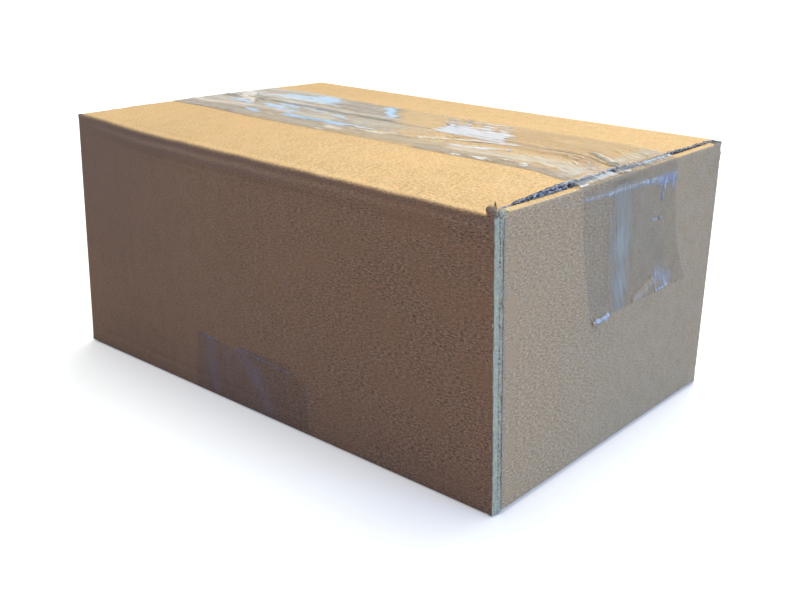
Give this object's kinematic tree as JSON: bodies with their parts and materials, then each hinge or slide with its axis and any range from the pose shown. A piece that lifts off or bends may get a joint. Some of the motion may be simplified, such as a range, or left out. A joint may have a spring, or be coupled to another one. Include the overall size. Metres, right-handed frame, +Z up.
{
  "type": "taped parcel",
  "caption": "Small corrugated shipping carton, folded shut and sealed with clear packing tape along the top seam and across the bottom.",
  "frame": {"origin": "middle of the carton's bottom face, where it stands", "axes": "+X along the long panels, towards the short panel beside the glued corner; +Y across, away from the long panel with the raw edge; +Z up"},
  "size_m": [0.1752, 0.11, 0.0819],
  "materials": {
    "kraft_board": "matt brown kraft liner with fine fibre speckle",
    "clear_tape": "clear glossy film, milky where air is trapped"
  },
  "bodies": {
    "root": {"carton": "kraft_board", "top_tape": "clear_tape", "bottom_tape": "clear_tape"}
  },
  "joints": []
}
